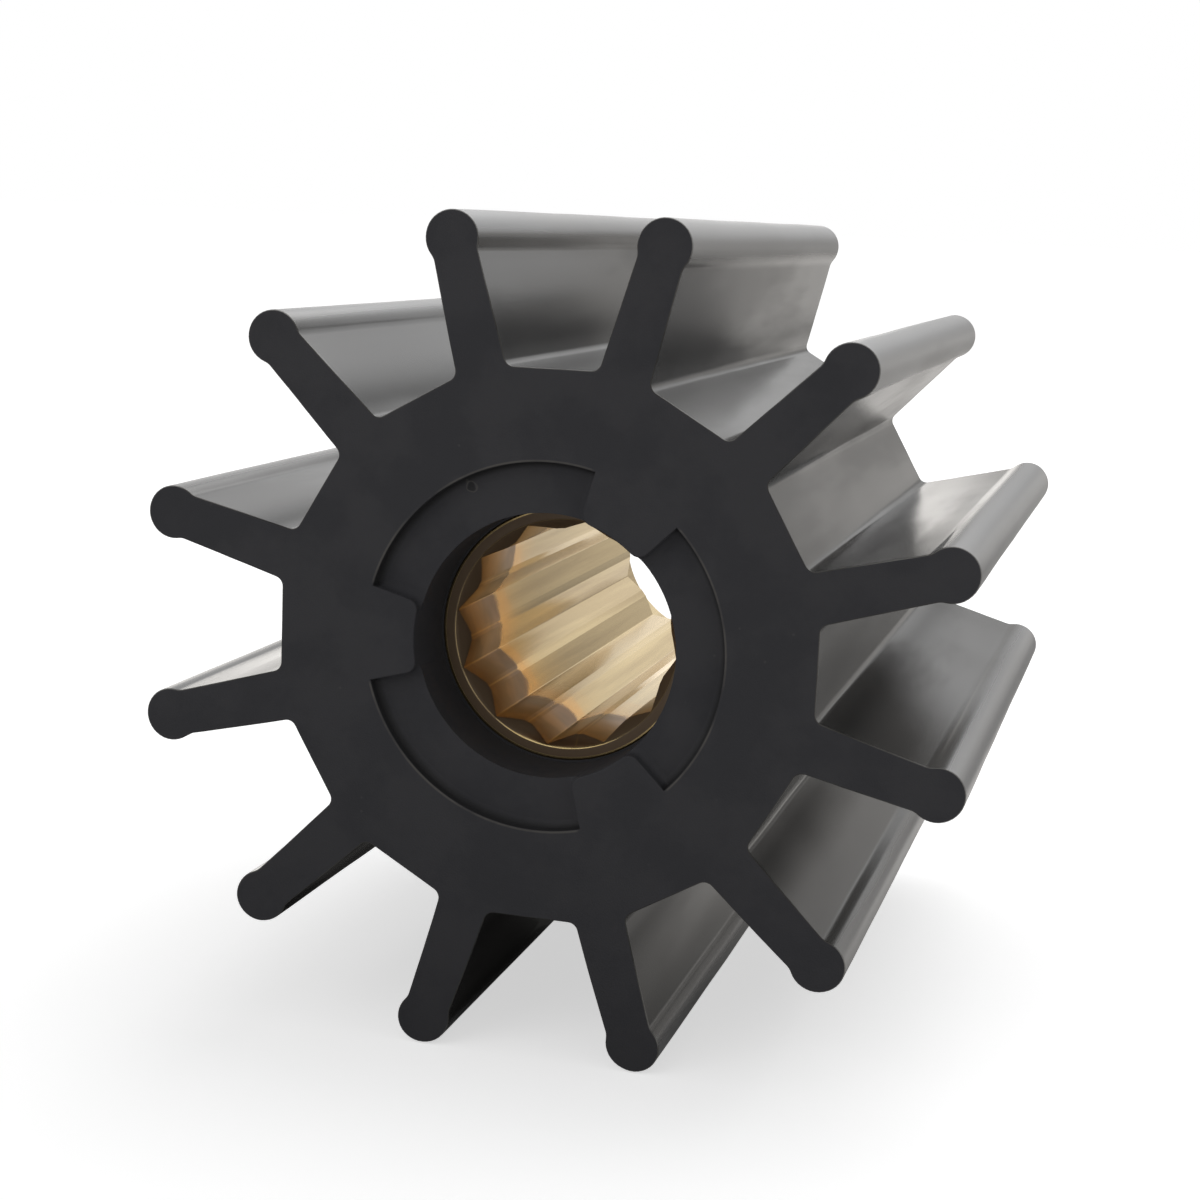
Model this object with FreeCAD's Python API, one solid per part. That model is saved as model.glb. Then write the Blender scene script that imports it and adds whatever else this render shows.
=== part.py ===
import FreeCAD, Part
import math
import os

# Flexible rubber pump impeller with a splined metal insert, lying on two of its blades.
# Lengths are in millimetres and angles in degrees.
# X is to the right, Y runs along the shaft from the front end to the rear end, Z is up.
# The origin is on the floor, under the middle of the impeller.

# Rubber moulding: hub, blades and the bulbs at the blade tips. The hub is flat between each
# two blades, so it is a twelve-sided prism that the blades stand on the corners of.
TIP_DIAMETER = 95.0
IMPELLER_LENGTH = 92.4
BLADE_COUNT = 12
HUB_ACROSS_FLATS = 59.8
BULB_DIAMETER = 5.9
BLADE_ROOT_THICKNESS = 5.7
BLADE_NECK_THICKNESS = 4.9
ROOT_FILLET_RADIUS = 1.1
NECK_FILLET_RADIUS = 2.0

# Three shallow arc recesses round the mouth of the front bore, with a lug between each two
RECESS_OUTER_DIAMETER = 40.0
RECESS_DEPTH = 1.5
RECESS_FLOOR_FILLET = 0.9
LUG_COUNT = 3
LUG_WIDTH_ANGLE = 30.4
LUG_CORNER_RADIUS = 1.3
FIRST_LUG_ANGLE = 60.0

# Twelve-point spline, its countersunk mouth and the plain relief where it runs out
SPLINE_POINTS = 12
SPLINE_VALLEY_DIAMETER = 25.5
SPLINE_DEPTH = 1.1
SPLINE_VALLEY_ANGLE = 123.0
SPLINE_FIRST_VALLEY_ANGLE = 22.5
RIM_CLEARANCE = 0.15
COUNTERSINK_HALF_ANGLE = 34.0
RELIEF_LENGTH = 4.0

# The insert is bonded in the rubber and stands back from both end faces, in pockets that
# the mould's core pins leave a little wider than the insert
INSERT_WALL = 1.5
INSERT_EDGE_CHAMFER = 0.2
FRONT_POCKET_CLEARANCE = 0.2
REAR_POCKET_CLEARANCE = 0.45
FRONT_SETBACK = 9.3
REAR_SETBACK = 5.3
REAR_POCKET_CHAMFER = 0.3

# Derived sizes
BLADE_PITCH = 360.0 / BLADE_COUNT
FIRST_BLADE_ANGLE = -90.0 - BLADE_PITCH / 2
HUB_FLAT_DISTANCE = HUB_ACROSS_FLATS / 2
BULB_RADIUS = BULB_DIAMETER / 2
BULB_CENTRE_RADIUS = TIP_DIAMETER / 2 - BULB_RADIUS
VALLEY_RADIUS = SPLINE_VALLEY_DIAMETER / 2
CREST_RADIUS = VALLEY_RADIUS - SPLINE_DEPTH
RIM_RADIUS = VALLEY_RADIUS + RIM_CLEARANCE
INSERT_RADIUS = VALLEY_RADIUS + INSERT_WALL
POCKET_RADIUS = INSERT_RADIUS + FRONT_POCKET_CLEARANCE
REAR_POCKET_RADIUS = INSERT_RADIUS + REAR_POCKET_CLEARANCE
INSERT_LENGTH = IMPELLER_LENGTH - FRONT_SETBACK - REAR_SETBACK
AXIS_HEIGHT = BULB_CENTRE_RADIUS * math.cos(math.radians(BLADE_PITCH / 2)) + BULB_RADIUS

# How far a cutting shape runs past the face it cuts
OVERCUT = 1.0

AXIS = FreeCAD.Vector(0, 0, 1)
CENTRE = FreeCAD.Vector(0, 0, 0)


def point(radius, angle):
    """A point of the front face, at a radius and an angle round the axis."""
    turn = math.radians(angle)
    return FreeCAD.Vector(radius * math.cos(turn), radius * math.sin(turn), 0)


def angle_of(vector):
    return math.degrees(math.atan2(vector.y, vector.x))


def arc(centre, start, end, clockwise=False):
    """The arc about a centre from start to end, the way round that is asked for."""
    first = angle_of(start - centre)
    last = angle_of(end - centre)
    sweep = (last - first) % 360.0
    if clockwise:
        sweep = sweep - 360.0
    radius = (start - centre).Length
    middle = centre + point(radius, first + sweep / 2)
    return Part.Arc(start, middle, end).toShape()


def line(start, end):
    return Part.LineSegment(start, end).toShape()


def mirrored(vector):
    return FreeCAD.Vector(vector.x, -vector.y, vector.z)


def rotated(shape, angle):
    copy = shape.copy()
    copy.rotate(CENTRE, AXIS, angle)
    return copy


def cylinder(radius, depth, length):
    """A cylinder on the axis that starts at a depth and runs towards the rear."""
    start = FreeCAD.Vector(0, 0, -depth)
    return Part.makeCylinder(radius, length, start, -AXIS)


def turned(section):
    """A solid turned from a section given as (radius, depth) corners."""
    corners = [FreeCAD.Vector(radius, 0, -depth) for radius, depth in section]
    face = Part.Face(Part.makePolygon(corners + corners[:1]))
    return face.revolve(CENTRE, AXIS, 360)


def prism(edges, depth, length):
    """A solid swept along the axis from a closed outline drawn at depth zero."""
    face = Part.Face(Part.Wire(edges))
    face.translate(FreeCAD.Vector(0, 0, -depth))
    return face.extrude(-AXIS * length)


def blade_outline():
    """One blade lying along +X, and the hub's flat that leads to the next blade.

    Each flank is a straight line. One fillet joins it to the flat and one to the bulb,
    both tangent at their two ends.
    """
    bulb = FreeCAD.Vector(BULB_CENTRE_RADIUS, 0, 0)
    root = FreeCAD.Vector(HUB_FLAT_DISTANCE, BLADE_ROOT_THICKNESS / 2, 0)
    neck = FreeCAD.Vector(BULB_CENTRE_RADIUS, BLADE_NECK_THICKNESS / 2, 0)
    along = (neck - root).normalize()
    outward = FreeCAD.Vector(-along.y, along.x, 0)

    # Root fillet: a circle that rests on the next flat and on the flank
    flat_normal = point(1, BLADE_PITCH / 2)
    above_flat = HUB_FLAT_DISTANCE + ROOT_FILLET_RADIUS
    off_flank = root.dot(outward) + ROOT_FILLET_RADIUS
    lean = flat_normal.dot(outward)
    spread = 1 - lean ** 2
    root_centre = flat_normal * ((above_flat - off_flank * lean) / spread)
    root_centre = root_centre + outward * ((off_flank - above_flat * lean) / spread)
    flank_start = root_centre - outward * ROOT_FILLET_RADIUS
    flat_start = root_centre - flat_normal * ROOT_FILLET_RADIUS

    # Neck fillet: a circle that rests on the flank and on the bulb
    reach = BULB_RADIUS + NECK_FILLET_RADIUS
    offset = bulb.dot(outward) - root.dot(outward) - NECK_FILLET_RADIUS
    back = math.sqrt(reach ** 2 - offset ** 2)
    neck_centre = bulb - outward * offset - along * back
    flank_end = neck_centre - outward * NECK_FILLET_RADIUS
    bulb_start = bulb + (neck_centre - bulb) * (BULB_RADIUS / reach)

    flat_end = rotated(Part.Vertex(mirrored(flat_start)), BLADE_PITCH).Point
    return [
        arc(mirrored(root_centre), mirrored(flat_start), mirrored(flank_start), clockwise=True),
        line(mirrored(flank_start), mirrored(flank_end)),
        arc(mirrored(neck_centre), mirrored(flank_end), mirrored(bulb_start), clockwise=True),
        arc(bulb, mirrored(bulb_start), bulb_start),
        arc(neck_centre, bulb_start, flank_end, clockwise=True),
        line(flank_end, flank_start),
        arc(root_centre, flank_start, flat_start, clockwise=True),
        line(flat_start, flat_end),
    ]


def hub_and_blades():
    one_blade = blade_outline()
    edges = []
    for index in range(BLADE_COUNT):
        turn = FIRST_BLADE_ANGLE + index * BLADE_PITCH
        for edge in one_blade:
            edges.append(rotated(edge, turn))
    return prism(edges, 0, IMPELLER_LENGTH)


def front_recess():
    """The space of one arc recess, centred on +X, from the pocket out to its curved wall.

    Its two end walls are the radial sides of the lugs. Each lug corner at the pocket is
    rounded, and a fillet runs round the floor under the outer wall and the end walls.
    """
    half_angle = (360.0 / LUG_COUNT - LUG_WIDTH_ANGLE) / 2
    outer_radius = RECESS_OUTER_DIAMETER / 2
    inner_radius = POCKET_RADIUS - OVERCUT
    outer_end = point(outer_radius, half_angle)

    # The rounded corner is a circle inside the lug, tangent to its side and to the pocket
    corner_centre_radius = POCKET_RADIUS + LUG_CORNER_RADIUS
    corner_turn = math.degrees(math.asin(LUG_CORNER_RADIUS / corner_centre_radius))
    corner_angle = half_angle + corner_turn
    corner_centre = point(corner_centre_radius, corner_angle)
    side_end = point(corner_centre_radius * math.cos(math.radians(corner_turn)), half_angle)
    pocket_touch = point(POCKET_RADIUS, corner_angle)
    inner_end = point(inner_radius, corner_angle)

    edges = [
        arc(CENTRE, mirrored(outer_end), outer_end),
        line(outer_end, side_end),
        arc(corner_centre, side_end, pocket_touch, clockwise=True),
        line(pocket_touch, inner_end),
        arc(CENTRE, inner_end, mirrored(inner_end), clockwise=True),
        line(mirrored(inner_end), mirrored(pocket_touch)),
        arc(mirrored(corner_centre), mirrored(pocket_touch), mirrored(side_end), clockwise=True),
        line(mirrored(side_end), mirrored(outer_end)),
    ]
    space = prism(edges, -OVERCUT, RECESS_DEPTH + OVERCUT)
    floor_level = -RECESS_DEPTH
    floor = [edge for edge in space.Edges if edge.BoundBox.ZMax < floor_level + OVERCUT / 2]
    walls = [edge for edge in floor if nearest_vertex(edge) > POCKET_RADIUS - OVERCUT / 2]
    return space.makeFillet(RECESS_FLOOR_FILLET, walls)


def nearest_vertex(edge):
    """The smaller of the distances of an edge's two ends from the axis."""
    return min(math.hypot(vertex.X, vertex.Y) for vertex in edge.Vertexes)


def bore():
    """The space inside the rubber: the insert's seat with a wider pocket at each end."""
    rear = IMPELLER_LENGTH
    wide = REAR_POCKET_RADIUS + REAR_POCKET_CHAMFER
    return turned([
        (0, -OVERCUT),
        (POCKET_RADIUS, -OVERCUT),
        (POCKET_RADIUS, FRONT_SETBACK),
        (INSERT_RADIUS, FRONT_SETBACK),
        (INSERT_RADIUS, rear - REAR_SETBACK),
        (REAR_POCKET_RADIUS, rear - REAR_SETBACK),
        (REAR_POCKET_RADIUS, rear - REAR_POCKET_CHAMFER),
        (wide, rear),
        (wide, rear + OVERCUT),
        (0, rear + OVERCUT),
    ])


def rubber_impeller():
    body = hub_and_blades().cut(bore())
    space = front_recess()
    for index in range(LUG_COUNT):
        between_lugs = FIRST_LUG_ANGLE + (index + 0.5) * 360.0 / LUG_COUNT
        body = body.cut(rotated(space, between_lugs))
    return body


def spline_outline():
    """Twelve sharp valleys joined by straight flanks, each crest cut off by an arc."""
    pitch = 360.0 / SPLINE_POINTS
    half_angle = math.radians(SPLINE_VALLEY_ANGLE / 2)
    across = VALLEY_RADIUS * math.sin(half_angle)
    inward = VALLEY_RADIUS * math.cos(half_angle)
    flank = inward - math.sqrt(CREST_RADIUS ** 2 - across ** 2)
    crest_angle = math.degrees(math.asin(flank * math.sin(half_angle) / CREST_RADIUS))

    edges = []
    for index in range(SPLINE_POINTS):
        turn = SPLINE_FIRST_VALLEY_ANGLE + index * pitch
        valley = point(VALLEY_RADIUS, turn)
        next_valley = point(VALLEY_RADIUS, turn + pitch)
        crest_start = point(CREST_RADIUS, turn + crest_angle)
        crest_end = point(CREST_RADIUS, turn + pitch - crest_angle)
        edges.append(line(valley, crest_start))
        edges.append(arc(CENTRE, crest_start, crest_end))
        edges.append(line(crest_end, next_valley))
    return edges


def splined_insert():
    front = FRONT_SETBACK
    rear = FRONT_SETBACK + INSERT_LENGTH
    edge_radius = INSERT_RADIUS - INSERT_EDGE_CHAMFER
    body = turned([
        (0, front),
        (edge_radius, front),
        (INSERT_RADIUS, front + INSERT_EDGE_CHAMFER),
        (INSERT_RADIUS, rear - INSERT_EDGE_CHAMFER),
        (edge_radius, rear),
        (0, rear),
    ])
    spline = prism(spline_outline(), front - OVERCUT, INSERT_LENGTH - RELIEF_LENGTH + 2 * OVERCUT)
    slope = math.tan(math.radians(COUNTERSINK_HALF_ANGLE))
    countersink = turned([
        (0, front - OVERCUT),
        (RIM_RADIUS + OVERCUT * slope, front - OVERCUT),
        (0, front + RIM_RADIUS / slope),
    ])
    relief = cylinder(RIM_RADIUS, rear - RELIEF_LENGTH, RELIEF_LENGTH + OVERCUT)
    for space in (spline, countersink, relief):
        body = body.cut(space)
    return body


def laid_down(shape):
    """Turns the axis from upright to lying, front end at -Y, and sets the blades on the floor."""
    copy = shape.copy()
    copy.translate(FreeCAD.Vector(0, 0, IMPELLER_LENGTH / 2))
    copy.rotate(CENTRE, FreeCAD.Vector(1, 0, 0), 90)
    copy.translate(FreeCAD.Vector(0, 0, AXIS_HEIGHT))
    return copy


def main():
    os.makedirs("parts", exist_ok=True)
    pieces = {
        "rubber_impeller": rubber_impeller(),
        "splined_insert": splined_insert(),
    }
    for name, shape in pieces.items():
        placed = laid_down(shape)
        solid = placed.Solids[0]
        solid.exportStep("parts/" + name + ".step")
        print(name, len(placed.Solids), "solid", solid.isValid(), round(solid.Volume, 1), "mm3")


main()
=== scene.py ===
"""Looks of a flexible rubber pump impeller with a splined brass sleeve.

The impeller lies on two of its blades, front end towards -Y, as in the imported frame.
Lengths are in metres. Angles are in degrees, counter-clockwise as seen from the front.
"""

import logging
import math
from collections.abc import Iterable, Mapping, Sequence
from dataclasses import dataclass, replace
from enum import Enum
from functools import cache

import bpy
from bpy.types import ID, Material, Mesh, Node, NodeSocket, NodeTree, Object
from mathutils import Matrix, Vector


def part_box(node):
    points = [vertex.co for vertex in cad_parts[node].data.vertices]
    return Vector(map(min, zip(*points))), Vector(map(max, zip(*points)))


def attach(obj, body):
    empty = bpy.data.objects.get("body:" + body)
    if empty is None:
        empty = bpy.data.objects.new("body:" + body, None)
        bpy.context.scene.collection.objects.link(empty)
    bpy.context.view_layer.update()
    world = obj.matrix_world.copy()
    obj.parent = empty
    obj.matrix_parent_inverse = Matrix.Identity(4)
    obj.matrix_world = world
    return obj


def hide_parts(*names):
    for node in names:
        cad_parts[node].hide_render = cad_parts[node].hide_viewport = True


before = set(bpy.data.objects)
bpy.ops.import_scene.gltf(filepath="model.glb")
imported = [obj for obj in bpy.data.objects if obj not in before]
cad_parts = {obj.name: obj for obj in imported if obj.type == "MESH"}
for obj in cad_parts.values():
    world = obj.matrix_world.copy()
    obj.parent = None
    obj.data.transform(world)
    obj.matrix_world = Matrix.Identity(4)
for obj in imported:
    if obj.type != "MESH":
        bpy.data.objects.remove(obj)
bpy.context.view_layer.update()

log = logging.getLogger("impeller")

MM = 0.001
ROOT_BODY = "root"
TURN_ATTRIBUTE = "cell_turn"

INSERT_RADIUS = 14.25 * MM
FRONT_SETBACK = 9.3 * MM
REAR_SETBACK = 5.3 * MM

Two = tuple[float, float]
Three = tuple[float, float, float]
Four = tuple[float, float, float, float]
Constant = float | int | bool | str | Sequence[float] | ID

SOCKET_KINDS = (
    (int, "Int"),
    (float, "Float"),
    (Object, "Object"),
    (Material, "Material"),
)


class Slot(Enum):
    """Material slots of the record. Nothing in this script uses them."""

    RUBBER = "moulded_rubber"
    BRASS = "insert_brass"


class TreeKind(Enum):
    """The kinds of node group that the script builds."""

    GEOMETRY = "GeometryNodeTree"
    SHADER = "ShaderNodeTree"


@dataclass(frozen=True)
class Term:
    """One output of a node. The signs + - * / work on it as on a number, and add Math nodes."""

    sheet: "NodeSheet"
    socket: NodeSocket

    def other(self, key: str | int) -> "Term":
        """Another output of the same node."""
        return Term(self.sheet, self.socket.node.outputs[key])

    def ramp(self, low: float, high: float, start: float = 0.0, end: float = 1.0) -> "Term":
        """Maps the term smoothly from one range onto another, held at both ends.

        Args:
            low: the value that gives start.
            high: the value that gives end.
            start: the result at low.
            end: the result at high.

        Returns:
            The mapped term.
        """
        values = {0: self, 1: low, 2: high, 3: start, 4: end}
        return self.sheet.add("ShaderNodeMapRange", values, interpolation_type="SMOOTHSTEP")

    def largest(self, value: "Value") -> "Term":
        """The larger of this term and a value."""
        return self.sheet.math("MAXIMUM", self, value)

    def smallest(self, value: "Value") -> "Term":
        """The smaller of this term and a value."""
        return self.sheet.math("MINIMUM", self, value)

    def above(self, value: "Value") -> "Term":
        """1 where this term is greater than a value, and 0 elsewhere."""
        return self.sheet.math("GREATER_THAN", self, value)

    def __add__(self, value: "Value") -> "Term":
        """This term and a value."""
        return self.sheet.math("ADD", self, value)

    def __sub__(self, value: "Value") -> "Term":
        """This term less a value."""
        return self.sheet.math("SUBTRACT", self, value)

    def __rsub__(self, value: "Value") -> "Term":
        """A value less this term."""
        return self.sheet.math("SUBTRACT", value, self)

    def __mul__(self, value: "Value") -> "Term":
        """This term times a value."""
        return self.sheet.math("MULTIPLY", self, value)

    def __truediv__(self, value: "Value") -> "Term":
        """This term over a value."""
        return self.sheet.math("DIVIDE", self, value)

    def __rtruediv__(self, value: "Value") -> "Term":
        """A value over this term."""
        return self.sheet.math("DIVIDE", value, self)

    def __abs__(self) -> "Term":
        """The term without its sign."""
        return self.sheet.math("ABSOLUTE", self)


Value = Term | Constant


@dataclass(frozen=True)
class NodeSheet:
    """A node tree under construction, with short calls that add and link nodes."""

    tree: NodeTree

    def fill(self, node: Node, values: Mapping[str | int, Value]) -> None:
        """Links or sets a node's inputs.

        Args:
            node: the node.
            values: terms and constants, by input name or place. A colour has no alpha.
        """
        for key, value in values.items():
            target = node.inputs[key]
            if isinstance(value, Term):
                self.tree.links.new(value.socket, target)
            else:
                target.default_value = (*value, 1.0) if target.type == "RGBA" else value

    def add(
        self, kind: str, values: Mapping[str | int, Value] | None = None, **options: object
    ) -> Term:
        """Adds a node.

        Args:
            kind: the node's type name.
            values: terms and constants, by input name or place.
            **options: the node's own options.

        Returns:
            The node's first output.
        """
        node = self.tree.nodes.new(kind)
        for name, option in options.items():
            setattr(node, name, option)
        self.fill(node, values or {})
        return Term(self, node.outputs[0])

    def close(self, *results: Value) -> None:
        """Plugs the tree's results into its output node."""
        self.fill(self.tree.nodes.new("NodeGroupOutput"), dict(enumerate(results)))

    def group(self, group: NodeTree, values: Mapping[str | int, Value]) -> Term:
        """The first result of a node group."""
        kind = self.tree.bl_idname.replace("Tree", "Group")
        return self.add(kind, values, node_tree=group)

    def math(self, operation: str, *values: Value) -> Term:
        """The result of a Math node."""
        return self.add("ShaderNodeMath", dict(enumerate(values)), operation=operation)

    def vector(self, operation: str, *values: Value) -> Term:
        """The vector that a Vector Math node gives."""
        return self.add("ShaderNodeVectorMath", dict(enumerate(values)), operation=operation)

    def length(self, vector: Value) -> Term:
        """The length of a vector."""
        return self.vector("LENGTH", vector).other("Value")

    def scaled(self, vector: Value, factor: Value) -> Term:
        """A vector times a factor."""
        return self.add("ShaderNodeVectorMath", {0: vector, "Scale": factor}, operation="SCALE")

    def place(self) -> Term:
        """Where a material's surface is, in its object."""
        return self.add("ShaderNodeTexCoord").other("Object")

    def split(self, vector: Value) -> tuple[Term, Term, Term]:
        """The three coordinates of a vector."""
        first = self.add("ShaderNodeSeparateXYZ", {0: vector})
        return first, first.other(1), first.other(2)

    def noise(self, vector: Value, scale: Value, detail: float, roughness: float = 0.5) -> Term:
        """The value of a Noise Texture.

        Args:
            vector: where it is taken.
            scale: how many lumps fit in a metre.
            detail: how many finer layers it has.
            roughness: the share of each finer layer.

        Returns:
            A value round 0.5.
        """
        values = {"Vector": vector, "Scale": scale, "Detail": detail, "Roughness": roughness}
        return self.add("ShaderNodeTexNoise", values)

    def blend(self, share: Value, first: Value, second: Value) -> Term:
        """A colour between the first, at share 0, and the second, at share 1."""
        values = {0: share, 6: first, 7: second}
        return self.add("ShaderNodeMix", values, data_type="RGBA").other(2)


@dataclass(frozen=True)
class Band:
    """A range of a value, with a soft start and a soft end."""

    rise: Two
    fall: Two

    @classmethod
    def of_bearings(cls, first: float, last: float, soft: float) -> "Band":
        """The band between two bearings in degrees, faded over a soft angle outside them."""
        corners = (first - soft, first, last, last + soft)
        low, full, high, end = (math.radians(corner) for corner in corners)
        return cls((low, full), (high, end))

    def mask(self, value: Term) -> Term:
        """1 inside the band and 0 outside it."""
        return value.ramp(*self.rise) * value.ramp(*self.fall, 1.0, 0.0)


@dataclass(frozen=True)
class Room:
    """Where a part lies in the frame: the shaft's height, and y of its front and rear faces."""

    axis_height: float
    front: float
    rear: float

    @classmethod
    def of_node(cls, node: str) -> "Room":
        """Reads the place of a CAD node, with the shaft in the middle of its height."""
        low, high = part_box(node)
        return cls(axis_height=(low[2] + high[2]) / 2, front=low[1], rear=high[1])


class SurfacePoint:
    """The point of a surface that a tree works on, seen from the shaft.

    Attributes:
        sheet: the tree.
        place: its position.
        across: its x.
        along: its y.
        up: its height above the shaft.
        radius: its distance from the shaft's axis.
    """

    def __init__(self, sheet: NodeSheet, place: Term, axis_height: Value) -> None:
        """Adds the nodes.

        Args:
            sheet: the tree under construction.
            place: the point's position.
            axis_height: height of the shaft above the floor.
        """
        self.sheet = sheet
        self.place = place
        self.across, self.along, height = sheet.split(place)
        self.up = height - axis_height
        flat = sheet.add("ShaderNodeCombineXYZ", {0: self.across, 2: self.up})
        self.radius = sheet.length(flat)

    def turn(self) -> Term:
        """Its angle about the shaft, in radians."""
        return self.sheet.math("ARCTAN2", self.up, self.across)

    def noise(self, scale: float, detail: float) -> Term:
        """Noise at the point, with so many lumps in a metre."""
        return self.sheet.noise(self.place, scale, detail)


def put(name: str, data: ID) -> Object:
    """Adds an object to the scene.

    Args:
        name: its name.
        data: its mesh, light or camera.

    Returns:
        The object.
    """
    made = bpy.data.objects.new(name, data)
    bpy.context.scene.collection.objects.link(made)
    return made


def new_material(name: str) -> tuple[Material, NodeSheet, Node]:
    """Starts a material.

    Args:
        name: its name.

    Returns:
        The material, the sheet to build it on, and its shader node.
    """
    made = bpy.data.materials.new(name)
    made.use_nodes = True
    return made, NodeSheet(made.node_tree), made.node_tree.nodes["Principled BSDF"]


def new_group(
    name: str, kind: TreeKind, inputs: Mapping[str, str], outputs: Mapping[str, str]
) -> tuple[NodeSheet, dict[str, Term]]:
    """Starts a node group.

    Args:
        name: its name.
        kind: its kind.
        inputs: kinds of its inputs by name.
        outputs: kinds of its outputs by name.

    Returns:
        The sheet to build it on, and its inputs by name.
    """
    tree = bpy.data.node_groups.new(name, kind.value)
    for way, sockets in (("INPUT", inputs), ("OUTPUT", outputs)):
        for label, socket_kind in sockets.items():
            tree.interface.new_socket(label, in_out=way, socket_type="NodeSocket" + socket_kind)
    sheet = NodeSheet(tree)
    given = tree.nodes.new("NodeGroupInput").outputs
    return sheet, {label: Term(sheet, given[label]) for label in inputs}


def piece_group(name: str, values: Mapping[str, Constant]) -> tuple[NodeSheet, dict[str, Term]]:
    """Starts the geometry tree that makes a whole piece out of one cell.

    Args:
        name: its name.
        values: what it is run with, by name. Each gets an input of its kind.

    Returns:
        The sheet to build it on, and its inputs by name. "Cell" is the cell's mesh.
    """
    kinds = {"Cell": "Geometry"}
    for label, value in values.items():
        kinds[label] = next(kind for known, kind in SOCKET_KINDS if isinstance(value, known))
    return new_group(name, TreeKind.GEOMETRY, kinds, {"Piece": "Geometry"})


def bake_tree(
    cell: Mesh, tree: NodeTree, values: Mapping[str, Constant]
) -> Mesh:
    """Runs a geometry node tree on a cell and returns the plain mesh that it makes.

    Args:
        cell: the cell's mesh.
        tree: the tree to run.
        values: the tree's inputs by name.

    Returns:
        The finished mesh.
    """
    holder = put(cell.name, cell)
    modifier = holder.modifiers.new(tree.name, "NODES")
    modifier.node_group = tree
    for item in tree.interface.items_tree:
        if item.in_out == "INPUT" and item.name in values:
            modifier[item.identifier] = values[item.name]
    holder.update_tag()
    graph = bpy.context.evaluated_depsgraph_get()
    mesh = bpy.data.meshes.new_from_object(holder.evaluated_get(graph), depsgraph=graph)
    holder.modifiers.remove(modifier)
    bpy.data.objects.remove(holder)
    return mesh


@cache
def ring_group() -> NodeTree:
    """Node group that repeats one cell evenly round the shaft and welds the seams.

    Returns:
        The group, with a cell, a count, a first turn in radians, the shaft's height and the
        weld distance as inputs.
    """
    inputs = {"Cell": "Geometry", "Count": "Int"}
    inputs |= dict.fromkeys(("First Turn", "Axis Height", "Weld"), "Float")
    sheet, given = new_group("ring of cells", TreeKind.GEOMETRY, inputs, {"Ring": "Geometry"})
    index = sheet.add("GeometryNodeInputIndex")
    turn = sheet.math("MULTIPLY_ADD", index, math.tau / given["Count"], given["First Turn"])
    centre = sheet.add("ShaderNodeCombineXYZ", {2: given["Axis Height"]})
    points = sheet.add("GeometryNodePoints", {"Count": given["Count"], "Position": centre})
    # a positive turn about Y is clockwise from the front, so the turn is taken the other way
    axis_turn = {"Axis": (0.0, 1.0, 0.0), "Angle": turn * -1.0}
    spin = sheet.add("FunctionNodeAxisAngleToRotation", axis_turn)
    placed = sheet.add(
        "GeometryNodeInstanceOnPoints",
        {"Points": points, "Instance": given["Cell"], "Rotation": spin},
    )
    kept = sheet.add(
        "GeometryNodeStoreNamedAttribute",
        {"Geometry": placed, "Name": TURN_ATTRIBUTE, "Value": turn},
        data_type="FLOAT",
        domain="INSTANCE",
    )
    real = sheet.add("GeometryNodeRealizeInstances", {"Geometry": kept})
    welding = {"Geometry": real, "Distance": given["Weld"]}
    sheet.close(sheet.add("GeometryNodeMergeByDistance", welding))
    return sheet.tree


@cache
def crease_group(end_normal: float = 0.995, border: float = 0.4) -> NodeTree:
    """Node group that shades a mesh smooth and keeps its true corners crisp.

    Args:
        end_normal: how much of its normal a face has along the shaft to count as an end face.
        border: how far from a half the share of end faces beside the border's edges may be.

    Returns:
        The group. Beside the mesh it gives a mask of the end faces.
    """
    inputs = {"Mesh": "Geometry", "Corner Angle": "Float"}
    outputs = {"Mesh": "Geometry", "End Face": "Bool"}
    sheet, given = new_group("crisp corners", TreeKind.GEOMETRY, inputs, outputs)
    _, along, _ = sheet.split(sheet.add("GeometryNodeInputNormal"))
    is_end = share = abs(along).above(end_normal)
    for domain in ("FACE", "EDGE"):
        share = sheet.add(
            "GeometryNodeFieldOnDomain", {0: share}, data_type="FLOAT", domain=domain
        )
    at_border = sheet.math("COMPARE", share, 0.5, border)
    corner = sheet.add("GeometryNodeInputMeshEdgeAngle").above(given["Corner Angle"])
    mesh = given["Mesh"]
    for domain, chosen, smooth in (
        ("FACE", True, True),
        ("EDGE", at_border.largest(corner), False),
    ):
        values = {"Geometry": mesh, "Selection": chosen, "Shade Smooth": smooth}
        mesh = sheet.add("GeometryNodeSetShadeSmooth", values, domain=domain)
    sheet.close(mesh, is_end)
    return sheet.tree


@cache
def skin_group(cells: float = 700.0, speck: Two = (0.05, 0.16)) -> NodeTree:
    """Node group with the fine grain and the dust that rubber shows.

    Args:
        cells: how many cells for a speck lie in a metre.
        speck: shares of a cell between which a speck fades.

    Returns:
        The group. Its dust is the share of the cells that carry a speck.
    """
    inputs = dict.fromkeys(("Grain Size", "Draw Stretch", "Dust"), "Float")
    outputs = dict.fromkeys(("Grain", "Specks"), "Float")
    sheet, given = new_group("rubber skin", TreeKind.SHADER, inputs, outputs)
    place = sheet.place()
    squeeze = {0: 1.0, 1: 1.0 / given["Draw Stretch"], 2: 1.0}
    drawn = sheet.vector("MULTIPLY", place, sheet.add("ShaderNodeCombineXYZ", squeeze))
    grain = sheet.noise(drawn, 1.0 / given["Grain Size"], 3.0)
    scattered = {"Vector": place, "Scale": cells}
    from_middle = sheet.add("ShaderNodeTexVoronoi", scattered, feature="F1")
    draw = sheet.add("ShaderNodeSeparateColor", {0: from_middle.other("Color")})
    specks = from_middle.ramp(*speck, 1.0, 0.0) * given["Dust"].above(draw)
    sheet.close(grain, specks)
    return sheet.tree


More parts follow.
